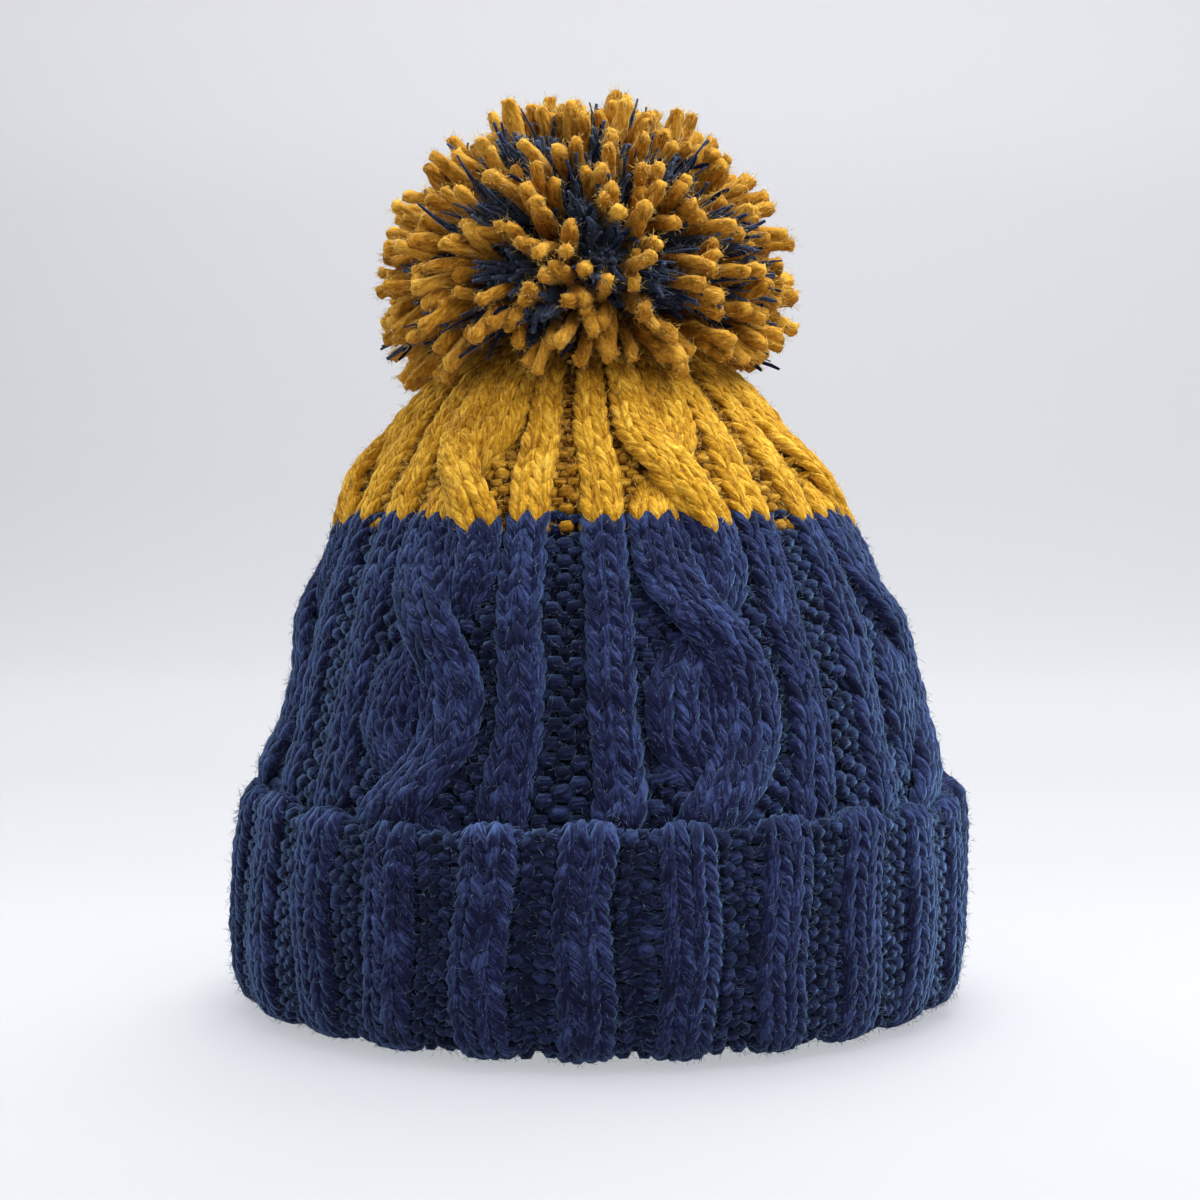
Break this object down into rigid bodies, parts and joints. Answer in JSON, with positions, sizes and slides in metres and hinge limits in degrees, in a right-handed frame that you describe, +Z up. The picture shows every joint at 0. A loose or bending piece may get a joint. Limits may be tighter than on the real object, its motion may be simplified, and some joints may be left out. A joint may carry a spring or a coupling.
{
  "type": "knit beanie",
  "caption": "Chunky cable-knit bobble hat with a turned-up ribbed cuff, a two-colour body and a yarn pompom tied through the gathered crown.",
  "frame": {"origin": "centre of the head opening, on the plane the turned-up cuff rests on", "axes": "+Z up from the opening to the pompom; -Y is the side over the wearer's face, the seam is near +Y; +X is the wearer's left"},
  "size_m": [0.204, 0.204, 0.2531],
  "materials": {
    "navy_knit": "brushed knitted wool-acrylic yarn, soft halo of fibres",
    "mustard_knit": "brushed knitted wool-acrylic yarn, soft halo of fibres",
    "navy_seam": "plied yarn",
    "mustard_seam": "plied yarn",
    "mustard_cord": "plied yarn, tightly twisted",
    "mustard_roving": "thick soft roving, cut ends",
    "navy_roving": "fuzzy yarn, cut ends",
    "navy_thread": "sewing thread",
    "label": "satin-weave ribbon, blank"
  },
  "bodies": {
    "hat": {"body_knit": "navy_knit", "crown_knit": "mustard_knit", "body_seam_yarn": "navy_seam", "crown_seam_yarn": "mustard_seam", "gather_cord": "mustard_cord", "care_label": "label", "label_stitches": "navy_thread"},
    "cuff": {"cuff_knit": "navy_knit", "cuff_seam_yarn": "navy_seam"},
    "tie_cord": {"tie_tails": "mustard_cord", "inner_knot": "mustard_cord", "tie_knot": "mustard_cord"},
    "pompom": {"pompom_binding": "mustard_cord", "pompom_pile": "mustard_roving", "mustard_yarn_ends": "mustard_roving", "navy_yarn_ends": "navy_roving"}
  },
  "joints": [
    {"name": "cuff_turn_down", "type": "slide", "parent": "cuff", "child": "hat", "axis": [0, 0, 1], "range_m": [0, 0.05]},
    {"name": "pompom_twist", "type": "hinge", "parent": "hat", "child": "tie_cord", "pos_m": [0, 0, 0.191], "axis": [0, 0, 1], "range_deg": [-90, 90]},
    {"name": "pompom_lean", "type": "hinge", "parent": "tie_cord", "child": "pompom", "pos_m": [0, 0, 0.191], "axis": [0, 1, 0], "range_deg": [-8, 8]}
  ]
}
